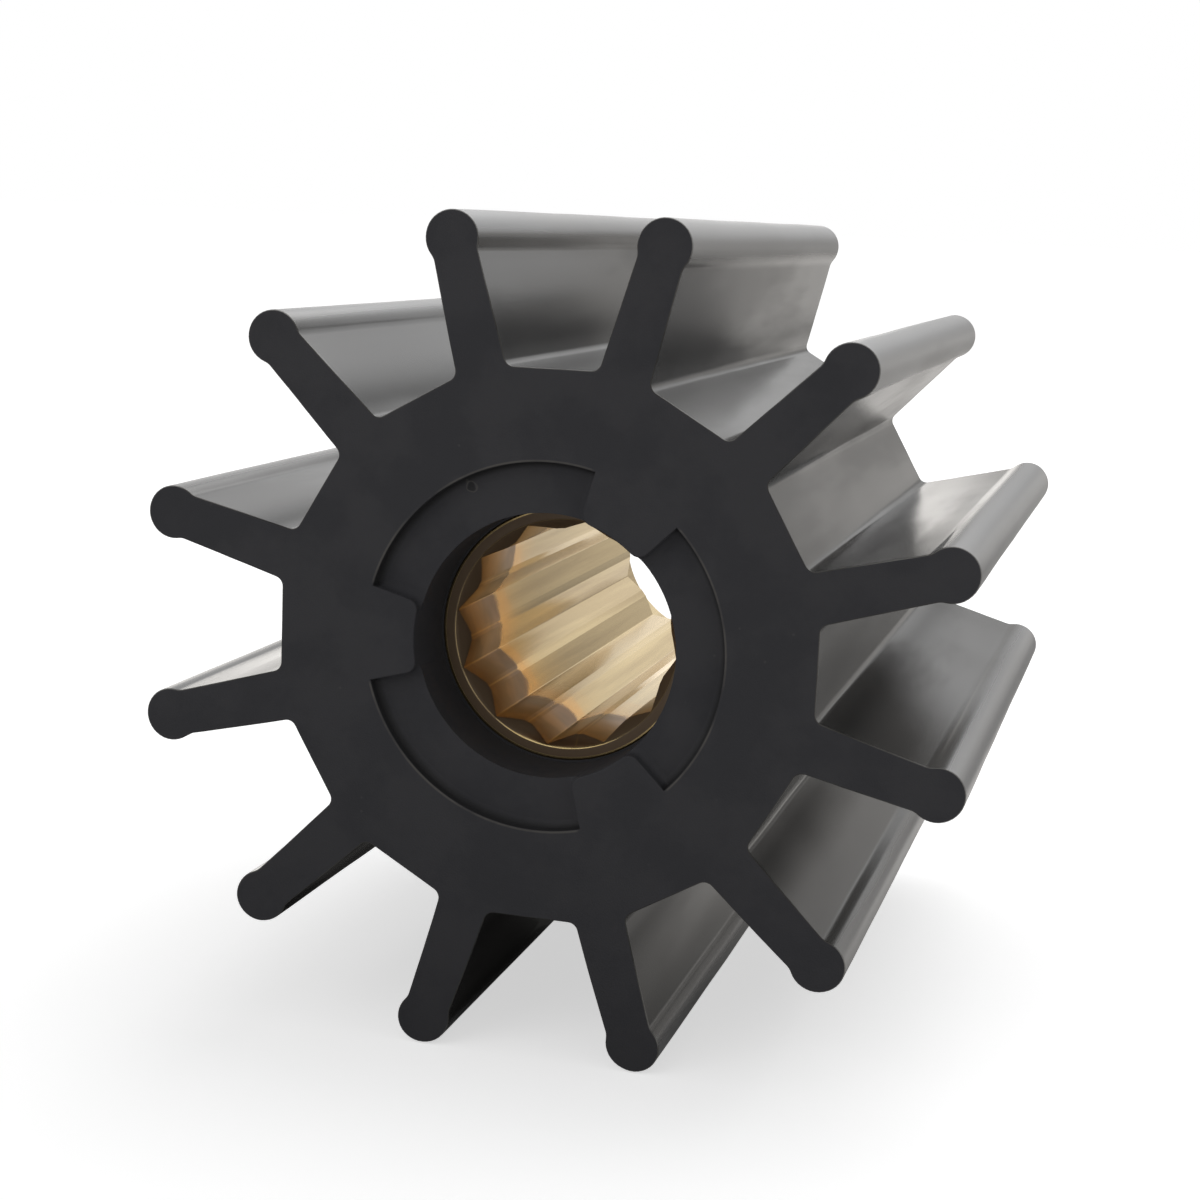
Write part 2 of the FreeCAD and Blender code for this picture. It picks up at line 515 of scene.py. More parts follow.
def polar(radius: float, angle: float) -> Two:
    """The (x, z) point at a radius and an angle about the shaft."""
    turn = math.radians(angle)
    return (radius * math.cos(turn), radius * math.sin(turn))


def arc_points(centre: Two, start: Two, end: Two, steps: int) -> list[Two]:
    """Points along the shorter arc about a centre, with both ends.

    Args:
        centre: the arc's centre.
        start: its first point.
        end: its last point.
        steps: how many chords it gets.

    Returns:
        steps + 1 points.
    """
    first = math.atan2(start[1] - centre[1], start[0] - centre[0])
    last = math.atan2(end[1] - centre[1], end[0] - centre[0])
    sweep = (last - first + math.pi) % math.tau - math.pi
    radius = math.dist(centre, start)
    angles = [first + sweep * step / steps for step in range(steps + 1)]
    return [(centre[0] + radius * math.cos(a), centre[1] + radius * math.sin(a)) for a in angles]


def rounded_corner(
    before: Two, corner: Two, after: Two, radius: float, steps: int
) -> list[Two]:
    """Points of the small arc that rounds one corner of an outline.

    Args:
        before: the point that the outline comes from.
        corner: the sharp corner.
        after: the point that the outline goes to.
        radius: the arc's radius.
        steps: how many chords it gets.

    Returns:
        steps + 1 points, from the side of before to the side of after.
    """
    tip = Vector(corner)
    back = (Vector(before) - tip).normalized()
    ahead = (Vector(after) - tip).normalized()
    half = back.angle(ahead) / 2
    reach = radius / math.tan(half)
    centre = tip + (back + ahead).normalized() * (radius / math.sin(half))
    return arc_points(tuple(centre), tuple(tip + back * reach), tuple(tip + ahead * reach), steps)


def quarter_round(radius: float, steps: int) -> list[Two]:
    """Steps over the soft edge between an end face and a wall.

    Args:
        radius: the edge's radius.
        steps: how many chords it gets.

    Returns:
        Pairs of the depth behind the face and the distance from the wall, face first.
    """
    turns = [math.radians(90.0 * step / steps) for step in range(steps + 1)]
    return [(radius * (1 - math.cos(turn)), radius * (1 - math.sin(turn))) for turn in turns]


def mesh_from(
    name: str, points: Iterable[Sequence[float]], faces: Iterable[Sequence[int]]
) -> Mesh:
    """Makes a mesh.

    Args:
        name: its name.
        points: corner positions.
        faces: corner numbers of each face.

    Returns:
        The new mesh.
    """
    mesh = bpy.data.meshes.new(name)
    mesh.from_pydata([tuple(point) for point in points], [], [tuple(face) for face in faces])
    mesh.validate()
    return mesh


def stacked(
    name: str, rings: Sequence[Sequence[Sequence[float]]], open_at_axis: bool = False
) -> Mesh:
    """Skins a stack of rings and caps both ends.

    Args:
        name: the mesh's name.
        rings: rings of equal length, counter-clockwise as seen from the front, front ring first.
        open_at_axis: True if each ring starts on the axis and the two sides there stay open.

    Returns:
        The mesh, faces outwards.
    """
    count = len(rings[0])
    faces: list[list[int]] = []
    for level in range(len(rings) - 1):
        near, far = level * count, (level + 1) * count
        for index in range(1, count - 1) if open_at_axis else range(count):
            after = (index + 1) % count
            faces.append([near + index, far + index, far + after, near + after])
    last = (len(rings) - 1) * count
    faces.append(list(range(count)))
    faces.append([last + index for index in reversed(range(count))])
    return mesh_from(name, [point for ring in rings for point in ring], faces)


@dataclass(frozen=True)
class ArcRecess:
    """Shape of one arc recess round the front bore, centred on +X, with a lug on each side."""

    pocket_radius: float = 14.45 * MM
    radius: float = 20.0 * MM
    depth: float = 1.5 * MM
    floor_fillet: float = 0.9 * MM
    lip_radius: float = 0.15 * MM
    lug_count: int = 3
    lug_angle: float = 30.4
    first_lug: float = 60.0
    lug_corner: float = 1.3 * MM
    overcut: float = 1.0 * MM
    wall_steps: int = 24
    corner_steps: int = 6
    side_steps: int = 4
    fillet_steps: int = 6
    lip_steps: int = 3

    def outline(self, inset: float) -> list[Two]:
        """Outline of the recess.

        Args:
            inset: how far the outline is drawn into the recess.

        Returns:
            (x, z) points, counter-clockwise as seen from the front.
        """
        half = (360.0 / self.lug_count - self.lug_angle) / 2
        centre_radius = self.pocket_radius + self.lug_corner
        corner_turn = math.degrees(math.asin(self.lug_corner / centre_radius))
        corner = Vector(polar(centre_radius, half + corner_turn))
        side = Vector(polar(1.0, half))
        into = Vector((side.y, -side.x))
        foot = side * corner.dot(side) + into * inset
        touch = Vector(polar(self.pocket_radius - inset, half + corner_turn))
        outer = self.radius - inset
        outer_half = half - math.degrees(math.asin(inset / outer))
        shares = [step / self.wall_steps for step in range(self.wall_steps + 1)]
        upper = [polar(outer, outer_half * share) for share in shares]
        wall_end = Vector(upper[-1])
        for step in range(1, self.side_steps):
            upper.append(tuple(wall_end.lerp(foot, step / self.side_steps)))
        upper += arc_points(tuple(corner), tuple(foot), tuple(touch), self.corner_steps)
        inner = self.pocket_radius - self.overcut
        upper += [polar(inner, (half + corner_turn) * (1 - share)) for share in shares]
        lower = [(x, -z) for x, z in upper[1:-1]]
        return upper + lower[::-1]

    def space(self, front: float) -> Mesh:
        """The space that the recess takes.

        Args:
            front: y of the face that it is in.

        Returns:
            Its mesh, with a soft lip above and a fillet round its floor.
        """
        fillet, steps = self.floor_fillet, self.fillet_steps
        levels = [(-self.overcut, -self.lip_radius)]
        for depth, inset in quarter_round(self.lip_radius, self.lip_steps):
            levels.append((depth, -inset))
        for turn in (math.radians(90.0 * step / steps) for step in range(steps + 1)):
            depth = self.depth - fillet + fillet * math.sin(turn)
            levels.append((depth, fillet * (1 - math.cos(turn))))
        rings = []
        for depth, inset in levels:
            rings.append([(x, front + depth, z) for x, z in self.outline(inset)])
        return stacked("recess_space", rings)


@dataclass(frozen=True)
class RecessPaintedLight:
    """Painted light round the front recesses: a pale line on their outer edge, a painted
    highlight, painted shade on their wall, and one small nick painted as a pale rim and a dark
    core.

    Attributes:
        recess: shape of the recesses.
        lug_fade: how softly the line ends at a lug, as a cosine.
        lip: depths behind the front face between which the line fades.
        line, wall: where the line and the wall lie, from the outer edge outwards.
        line_breakup: noise between which the painted highlight line is broken up.
        floor_fade: how far behind the recesses' floor the wall's painted shade fades.
        nick_distance: distance of the nick from the axis.
        nick_depth: depth of the nick behind the face.
        nick_core: share of its radius that is darkest.
        nick_rim: reach of the pale rim round the nick, a painted highlight.
        nick_waver: size of the lumps in the nick's outline, and how far they push it.
        nick_shares: strength of the rim's painted highlight and of the nick's painted shade.
    """

    recess: ArcRecess
    lug_fade: float = 0.06
    lip: Two = (0.02 * MM, 0.12 * MM)
    line: Band = Band((0.0, 0.10 * MM), (0.18 * MM, 0.34 * MM))
    wall: Band = Band((-0.9 * MM, -0.1 * MM), (0.10 * MM, 0.20 * MM))
    line_breakup: Two = (0.30, 0.55)
    floor_fade: float = 0.2 * MM
    nick_distance: float = 18.9 * MM
    nick_angle: float = 118.2
    nick_depth: float = 1.3 * MM
    nick_radius: float = 0.55 * MM
    nick_core: float = 0.4
    nick_rim: Two = (0.04 * MM, 0.16 * MM)
    nick_waver: Two = (1.1 * MM, 1.4 * MM)
    nick_shares: Two = (0.55, 0.7)

    def masks(self, point: SurfacePoint, clouds: Term, room: Room) -> tuple[Term, Term]:
        """Builds the masks.

        Args:
            point: the point of the surface.
            clouds: noise that breaks the worn line up.
            room: where the rubber lies.

        Returns:
            The mask of the painted highlight on the line and rim, and the mask of the painted
            shade on the wall and nick.
        """
        sheet, recess = point.sheet, self.recess
        phase = (point.turn() - math.radians(recess.first_lug)) * float(recess.lug_count)
        edge = math.cos(math.radians(recess.lug_count * recess.lug_angle / 2))
        between = sheet.math("COSINE", phase).ramp(edge - self.lug_fade, edge, 1.0, 0.0)
        depth = point.along - room.front
        shallow = depth.ramp(*self.lip, 1.0, 0.0)
        off_edge = point.radius - recess.radius
        # The pale line is a painted highlight on the recesses' outer edge; the wall below gets
        # painted shade.
        line = self.line.mask(off_edge) * shallow * clouds.ramp(*self.line_breakup) * between
        inside = depth.ramp(recess.depth, recess.depth + self.floor_fade, 1.0, 0.0)
        wall = self.wall.mask(off_edge) * ((1.0 - shallow) * inside)

        x, up = polar(self.nick_distance, self.nick_angle)
        middle = (x, room.front + self.nick_depth, room.axis_height + up)
        lump, push = self.nick_waver
        rough = point.noise(1.0 / lump, 1.0)
        off_nick = sheet.length(sheet.vector("SUBTRACT", point.place, middle))
        off_nick = (rough - 0.5) * push + off_nick
        pale, dark = self.nick_shares
        # The nick is painted, not cut: its pale rim is a painted highlight and its dark core is
        # painted shade.
        rim = abs(off_nick - self.nick_radius).ramp(*self.nick_rim, pale, 0.0)
        nick = off_nick.ramp(self.nick_core * self.nick_radius, self.nick_radius, dark, 0.0)
        return line.largest(rim), wall.largest(nick)


@dataclass(frozen=True)
class RubberFinish:
    """One of the rubber's finishes. Colours are linear.

    Pairs hold the value where the clouds are darkest and the one where they are lightest.

    Attributes:
        tone, pale: colours where the clouds are darkest and lightest.
        draw_stretch: how many times longer the pattern is along the shaft.
        dust: share of the surface cells that carry a speck.
        sheen: specular level, 0.5 being plain.
        contrast: noise between which the clouds go from darkest to lightest.
        corner_band: radii at which the painted shade in the corners between the blades, a duller
            sheen, starts, peaks and ends.
        corner_start, corner_sheen: shares of the sheen left at its start and at its peak.
        tints: colours of the sheen.
        bulb_reach: radii between which the blades' skin passes into the bulbs'.
        bulb_highlight_tone: pale colour of the bulbs, a painted highlight, where the finish covers
            them.
        bulb_sheen, bulb_roughness: specular level of the bulbs, and how much rougher they are.
        edge_highlight_tone: pale colour beside the end faces, a painted highlight along the edges,
            where the finish has one.
        edge_reach: depths behind the end faces between which it fades.
        edge_highlight_breakup: noise between which that painted highlight is broken up, and its
            least and full strength.
        recess_painted_light: painted highlight and shade round the front recesses, where the
            finish has them.
        speck, recess_highlight, recess_shade: colours of the dust, of the painted highlight on the
            recesses' edge and of the painted shade on their wall.
        shares: strength of the dust, of that painted highlight and of that painted shade.
    """

    name: str
    tone: Three
    pale: Three
    roughness: Two
    grain_size: float
    cloud_size: float
    draw_stretch: float
    grain_height: float
    dust: float
    sheen: Two
    contrast: Two = (0.36, 0.62)
    corner_band: Three = (30.0 * MM, 33.0 * MM, 39.0 * MM)
    corner_start: float = 0.7
    corner_sheen: float = 1.0
    tints: tuple[Three, Three] = ((1.0, 1.0, 1.0), (1.0, 0.99, 0.98))
    bulb_reach: Two = (43.6 * MM, 45.4 * MM)
    bulb_highlight_tone: Three | None = None
    bulb_sheen: float = 1.0
    bulb_roughness: float = 0.10
    edge_highlight_tone: Three | None = None
    edge_reach: Two = (0.12 * MM, 0.40 * MM)
    edge_highlight_breakup: Four = (0.30, 0.70, 0.35, 1.0)
    recess_painted_light: RecessPaintedLight | None = None
    speck: Three = (0.16, 0.15, 0.14)
    recess_highlight: Three = (0.12, 0.112, 0.10)
    recess_shade: Three = (0.004, 0.004, 0.004)
    shares: Three = (0.10, 0.6, 0.75)
    refraction: float = 1.52

    def corner_share(self, radius: Term) -> Term:
        """How much of the sheen is left at a radius, where the corners between the blades get
        painted shade.

        Args:
            radius: distance from the axis.

        Returns:
            1 outside the corner band, and corner_sheen in its middle.
        """
        start, middle, end = self.corner_band
        inner = radius.ramp(start, middle, self.corner_start, self.corner_sheen)
        return radius.ramp(middle, end) * (1.0 - inner) + inner

    def material(self, room: Room) -> Material:
        """Builds the finish's material.

        Args:
            room: where the rubber lies.

        Returns:
            The material.
        """
        made, sheet, shader = new_material(self.name)
        point = SurfacePoint(sheet, sheet.place(), room.axis_height)
        values = {"Grain Size": self.grain_size, "Draw Stretch": self.draw_stretch}
        skin = sheet.group(skin_group(), values | {"Dust": self.dust})
        drawn = sheet.vector("MULTIPLY", point.place, (1.0, 1.0 / self.draw_stretch, 1.0))
        clouds = sheet.noise(drawn, 1.0 / self.cloud_size, 4.0, 0.55)
        light = clouds.ramp(*self.contrast)
        dust, recess_highlight, recess_shade = self.shares
        base = sheet.blend(light, self.tone, self.pale)
        roughness = light.ramp(0.0, 1.0, *self.roughness)
        sheen = light.ramp(0.0, 1.0, *self.sheen)
        # Painted shade: the sheen drops in the corners between the blades.
        if self.corner_sheen < 1.0:
            sheen = sheen * self.corner_share(point.radius)
        # The bulbs' pale colour and higher sheen are a painted highlight.
        if self.bulb_highlight_tone is not None:
            on_bulb = point.radius.ramp(*self.bulb_reach)
            base = sheet.blend(on_bulb, base, self.bulb_highlight_tone)
            roughness = roughness + on_bulb * self.bulb_roughness
            sheen = sheet.add("ShaderNodeMix", {0: on_bulb, 2: sheen, 3: self.bulb_sheen})
        base = sheet.blend(skin.other("Specks") * dust, base, self.speck)
        # A pale band beside the end faces: a painted highlight along their edges.
        if self.edge_highlight_tone is not None:
            inward = (point.along - room.front).smallest(room.rear - point.along)
            edge = inward.ramp(*self.edge_reach, 1.0, 0.0) * clouds.ramp(*self.edge_highlight_breakup)
            base = sheet.blend(edge, base, self.edge_highlight_tone)
        if self.recess_painted_light is not None:
            # Painted shade on the recesses' wall and in the nick, then a painted highlight on
            # their edge and the nick's rim.
            line, wall = self.recess_painted_light.masks(point, clouds, room)
            base = sheet.blend(wall * recess_shade, base, self.recess_shade)
            base = sheet.blend(line * recess_highlight, base, self.recess_highlight)
        bump = {"Height": skin, "Distance": self.grain_height, "Strength": 1.0}
        values = {
            "Base Color": base,
            "Roughness": roughness,
            "Specular Tint": sheet.blend(light, *self.tints),
            "Specular IOR Level": sheen,
            "Normal": sheet.add("ShaderNodeBump", bump),
            "IOR": self.refraction,
        }
        sheet.fill(shader, values)
        return made


TRIMMED_RUBBER = RubberFinish(
    name="trimmed_rubber",
    tone=(0.0350, 0.0352, 0.0402),
    pale=(0.0400, 0.0400, 0.0450),
    roughness=(0.78, 0.68),
    grain_size=0.22 * MM,
    cloud_size=9 * MM,
    draw_stretch=1.0,
    grain_height=0.02 * MM,
    dust=0.04,
    sheen=(0.3, 0.3),
)
MOULDED_RUBBER = RubberFinish(
    name="moulded_rubber_skin",
    tone=(0.0090, 0.0090, 0.0093),
    pale=(0.0150, 0.0147, 0.0143),
    roughness=(0.24, 0.19),
    grain_size=0.35 * MM,
    cloud_size=11 * MM,
    draw_stretch=7.0,
    grain_height=0.002 * MM,
    dust=0.004,
    sheen=(0.42, 0.58),
    corner_sheen=0.20,
    tints=((1.0, 0.955, 0.905), (1.0, 0.99, 0.98)),
    # pale bulbs: a painted highlight
    bulb_highlight_tone=(0.199, 0.200, 0.204),
    # pale band beside the end faces: a painted highlight
    edge_highlight_tone=(0.105, 0.103, 0.097),
)


@dataclass(frozen=True)
class BrassFinish:
    """Machined brass, drawn along the shaft and stained brown from its mouth inwards.

    Attributes:
        film_band: radius of the rim, and radius that the film on the end faces reaches.
        slope: how far the countersink goes inwards for each metre of depth.
        bright, dull: linear colours of the clean metal and of the marks between.
        film: linear colour of the bonding film on the end faces.
        stain, warm: linear colours of the stain in the mouth and of where it runs out.
        roughness: roughness of the clean metal, of the stain and of the film.
        mark_size, mark_depth: width and depth of the marks.
        mark_squeeze: how many times shorter a mark is across than along the shaft.
        mark_contrast: noise between which the marks go from dull to bright.
        soft: half width of the film's edges.
        rim_glint_line: heights, as shares of the rim's radius, between which the line that is bare
        of film on the rim's lower side, a painted glint, gets wide, and its width.
        cap: depths between which the film on the end faces ends.
        mouth: depths between which the film in the countersink begins.
        cone_floor: heights, as shares of the rim's radius, between which that film is thin at
            the bottom, and its least and full strength.
        stain_reach: how deep the stain and then the warm colour run into the bore.
        fade_reach: how deep the metal still gets lighter, painted light growing into the bore.
        scallop: how much deeper the stain runs in the middle of a flank.
        behind_face: depths between which the stain begins.
        stain_edge: how far before and behind its reach the stain ends.
        stain_flank: depth of the stain's tone along the spline's edges.
        warm_strength, deep_light: strength of the warm colour and lightness of the metal there.
        wander, wander_scale: how far the stain's edge wanders, and how often in a metre.
        flank_power: how broad the flanks are between the spline's edges.
        flank_edge: values of the flanks between which the edges pass into them.
        blotch_scale: how many blotches fit in a metre.
        blotch_warm, blotch_brown: how blotches change the warm colour and the stain.
        metal_loss: how much of the metal the film and the stain cover.
    """

    room: Room
    film_band: Two
    slope: float
    points: int
    first_valley: float
    bright: Three = (0.72, 0.55, 0.27)
    dull: Three = (0.56, 0.41, 0.19)
    film: Three = (0.145, 0.096, 0.054)
    stain: Three = (0.235, 0.135, 0.068)
    warm: Three = (0.64, 0.37, 0.11)
    roughness: Three = (0.20, 0.30, 0.45)
    mark_size: float = 2.2 * MM
    mark_depth: float = 0.006 * MM
    mark_squeeze: float = 0.03
    mark_contrast: Two = (0.35, 0.65)
    soft: float = 0.05 * MM
    rim_glint_line: Three = (-0.75, -0.95, 0.12 * MM)
    cap: Two = (0.02 * MM, 0.15 * MM)
    mouth: Two = (0.06 * MM, 0.16 * MM)
    cone_floor: Four = (-0.97, -0.88, 0.2, 1.0)
    stain_reach: Two = (11.8 * MM, 21.0 * MM)
    fade_reach: float = 50.0 * MM
    scallop: float = 1.6 * MM
    behind_face: Two = (0.1 * MM, 0.3 * MM)
    stain_edge: Two = (0.5 * MM, 0.9 * MM)
    stain_flank: float = 0.72
    warm_strength: float = 0.95
    deep_light: float = 0.80
    wander: float = 1.8 * MM
    wander_scale: float = 300.0
    flank_power: float = 0.22
    flank_edge: Two = (0.45, 0.75)
    blotch_scale: float = 170.0
    blotch_warm: Four = (0.40, 0.58, 0.45, 1.0)
    blotch_brown: Four = (0.36, 0.62, 0.72, 1.15)
    metal_loss: Two = (0.8, 0.25)

    def film_mask(self, point: SurfacePoint) -> Term:
        """The mask of the brown film on both end faces and in the countersunk mouth.

        Args:
            point: the point of the surface.

        Returns:
            A mask that is 0 on clean metal. A thin line is left bare round the outer edge, and
            another along the lower side of the rim, where the bare metal is a painted glint.
        """
        rim, edge = self.film_band
        soft = self.soft
        from_height, to_height, width = self.rim_glint_line
        # The bare line on the rim's lower side is a painted glint.
        bare = point.up.ramp(from_height * rim, to_height * rim, 0.0, width)
        inner = (point.radius - (bare + rim)).ramp(-2.0 * soft, 0.0)
        outer = point.radius.ramp(edge - soft, edge + soft, 1.0, 0.0)
        front = point.along - self.room.front
        cap = front.smallest(self.room.rear - point.along).ramp(*self.cap, 1.0, 0.0)
        off_cone = front * self.slope + point.radius - rim
        cone = off_cone.ramp(soft, 2.5 * soft, 1.0, 0.0)
        bottom, side, thin, full = self.cone_floor
        cone = cone * point.up.ramp(bottom * rim, side * rim, thin, full)
        return (cap * (inner * outer)).largest(cone * front.ramp(*self.mouth))

    def depths(self, point: SurfacePoint) -> tuple[Term, Term]:
        """How deep a point lies in the bore for the stain, and how near to a spline's edge.

        Args:
            point: the point of the surface.

        Returns:
            The depth from the mouth, drawn back and forth along the stain's uneven edge, and a
            mask that is 0 along the spline's edges and 1 on its flanks.
        """
        turn = point.turn() - math.radians(self.first_valley)
        wave = point.sheet.math("SINE", turn * float(self.points))
        flank = point.sheet.math("POWER", abs(wave), self.flank_power)
        wander = point.noise(self.wander_scale, 3.0) * 2.0 - 1.0
        depth = point.along - self.room.front + flank * -self.scallop + wander * self.wander
        return depth, flank.ramp(*self.flank_edge)

    def material(self) -> Material:
        """Builds the finish's material.

        Returns:
            The material.
        """
        made, sheet, shader = new_material("machined_brass")
        point = SurfacePoint(sheet, sheet.place(), self.room.axis_height)
        drawing = {"Vector": point.place, "Scale": (1.0, self.mark_squeeze, 1.0)}
        drawn = sheet.add("ShaderNodeMapping", drawing)
        marks = sheet.noise(drawn, 1.0 / self.mark_size, 4.0, 0.55)
        blotches = point.noise(self.blotch_scale, 2.0)
        depth, flank = self.depths(point)
        deep, warm_end = self.stain_reach
        film = self.film_mask(point)
        behind_face = (point.along - self.room.front).ramp(*self.behind_face)
        before, behind = self.stain_edge
        stain = depth.ramp(deep - before, deep + behind, 1.0, 0.0)
        stain = stain * flank.ramp(0.0, 1.0, self.stain_flank, 1.0) * behind_face
        warmth = depth.ramp(deep, warm_end, self.warm_strength, 0.0)
        warmth = warmth * blotches.ramp(*self.blotch_warm) * behind_face

        metal = sheet.blend(marks.ramp(*self.mark_contrast), self.dull, self.bright)
        # Painted light: the metal is darker at the stain's reach and lighter deeper in the bore.
        metal = sheet.scaled(metal, depth.ramp(deep, self.fade_reach, self.deep_light, 1.0))
        metal = sheet.blend(warmth, metal, self.warm)
        brown = sheet.scaled(self.stain, blotches.ramp(*self.blotch_brown))
        metal = sheet.blend(stain, metal, brown)
        clean, dulled, coated = self.roughness
        film_loss, stain_loss = self.metal_loss
        roughness = stain.ramp(0.0, 1.0, clean, dulled)
        bump = {"Height": marks, "Distance": self.mark_depth, "Strength": 1.0}
        values = {
            "Base Color": sheet.blend(film, metal, self.film),
            "Roughness": roughness + film * (coated - roughness),
            "Normal": sheet.add("ShaderNodeBump", bump),
            "Metallic": 1.0 - (film * film_loss).largest(stain * stain_loss),
        }
        sheet.fill(shader, values)
        return made


@dataclass(frozen=True)
class BladeSection:
    """Outline of one blade and of half the hub's flat on each side of it.

    The blade points along +X. Its flanks are straight, a fillet joins each to the flat, and
    another joins it to the round bulb at the tip.
    """

    count: int = 12
    tip_radius: float = 47.5 * MM
    flat_distance: float = 29.9 * MM
    bulb_radius: float = 2.95 * MM
    root_thickness: float = 5.7 * MM
    neck_thickness: float = 4.9 * MM
    root_fillet: float = 1.1 * MM
    neck_fillet: float = 2.0 * MM
    bulb_steps: int = 12
    fillet_steps: int = 6
    flank_steps: int = 8
    flat_steps: int = 4

    @property
    def bulb_centre(self) -> float:
        """Distance of the bulb's centre from the axis."""
        return self.tip_radius - self.bulb_radius

    @staticmethod
    def bent(
        centre: Vector, start: Vector, end: Vector, steps: int, side: float
    ) -> list[tuple[Vector, Vector]]:
        """An arc of the outline.

        Args:
            centre: the arc's centre.
            start: its first point.
            end: its last point.
            steps: how many chords it gets.
            side: 1 if the normals lead away from the centre, -1 if they lead to it.

        Returns:
            Pairs of a point and its normal.
        """
        points = [Vector(p) for p in arc_points(tuple(centre), tuple(start), tuple(end), steps)]
        return [(p, (p - centre).normalized() * side) for p in points]

    def upper_half(self) -> list[tuple[Vector, Vector]]:
        """The half on the +Z side, from the middle of the hub's flat to the bulb's top.

        Returns:
            Pairs of a point and the outward normal there, as (x, z) vectors.
        """
        bulb = Vector((self.bulb_centre, 0.0))
        root = Vector((self.flat_distance, self.root_thickness / 2))
        neck = Vector((self.bulb_centre, self.neck_thickness / 2))
        along = (neck - root).normalized()
        outward = Vector((-along.y, along.x))

        flat_normal = Vector(polar(1.0, 180.0 / self.count))
        above_flat = self.flat_distance + self.root_fillet
        off_flank = root.dot(outward) + self.root_fillet
        lean = flat_normal.dot(outward)
        spread = 1 - lean**2
        root_centre = flat_normal * ((above_flat - off_flank * lean) / spread)
        root_centre += outward * ((off_flank - above_flat * lean) / spread)
        flank_start = root_centre - outward * self.root_fillet
        flat_start = root_centre - flat_normal * self.root_fillet

        reach = self.bulb_radius + self.neck_fillet
        offset = bulb.dot(outward) - root.dot(outward) - self.neck_fillet
        back = math.sqrt(reach**2 - offset**2)
        neck_centre = bulb - outward * offset - along * back
        flank_end = neck_centre - outward * self.neck_fillet
        bulb_start = bulb + (neck_centre - bulb) * (self.bulb_radius / reach)
        bulb_top = Vector((self.tip_radius, 0.0))
        gap_middle = flat_normal * self.flat_distance

        flat = [
            (gap_middle.lerp(flat_start, step / self.flat_steps), flat_normal)
            for step in range(self.flat_steps)
        ]
        flank = [
            (flank_start.lerp(flank_end, step / self.flank_steps), outward)
            for step in range(1, self.flank_steps)
        ]
        return (
            flat
            + self.bent(root_centre, flat_start, flank_start, self.fillet_steps, -1.0)
            + flank
            + self.bent(neck_centre, flank_end, bulb_start, self.fillet_steps, -1.0)[:-1]
            + self.bent(bulb, bulb_start, bulb_top, self.bulb_steps, 1.0)
        )

    def outline(self, inset: float) -> list[Two]:
        """The whole outline, drawn in by an inset.

        Args:
            inset: how far each point is moved into the rubber.

        Returns:
            (x, z) points, counter-clockwise as seen from the front.
        """
        upper = [point - normal * inset for point, normal in self.upper_half()]
        lower = [(point.x, -point.y) for point in upper]
        return lower + [(point.x, point.y) for point in reversed(upper[:-1])]


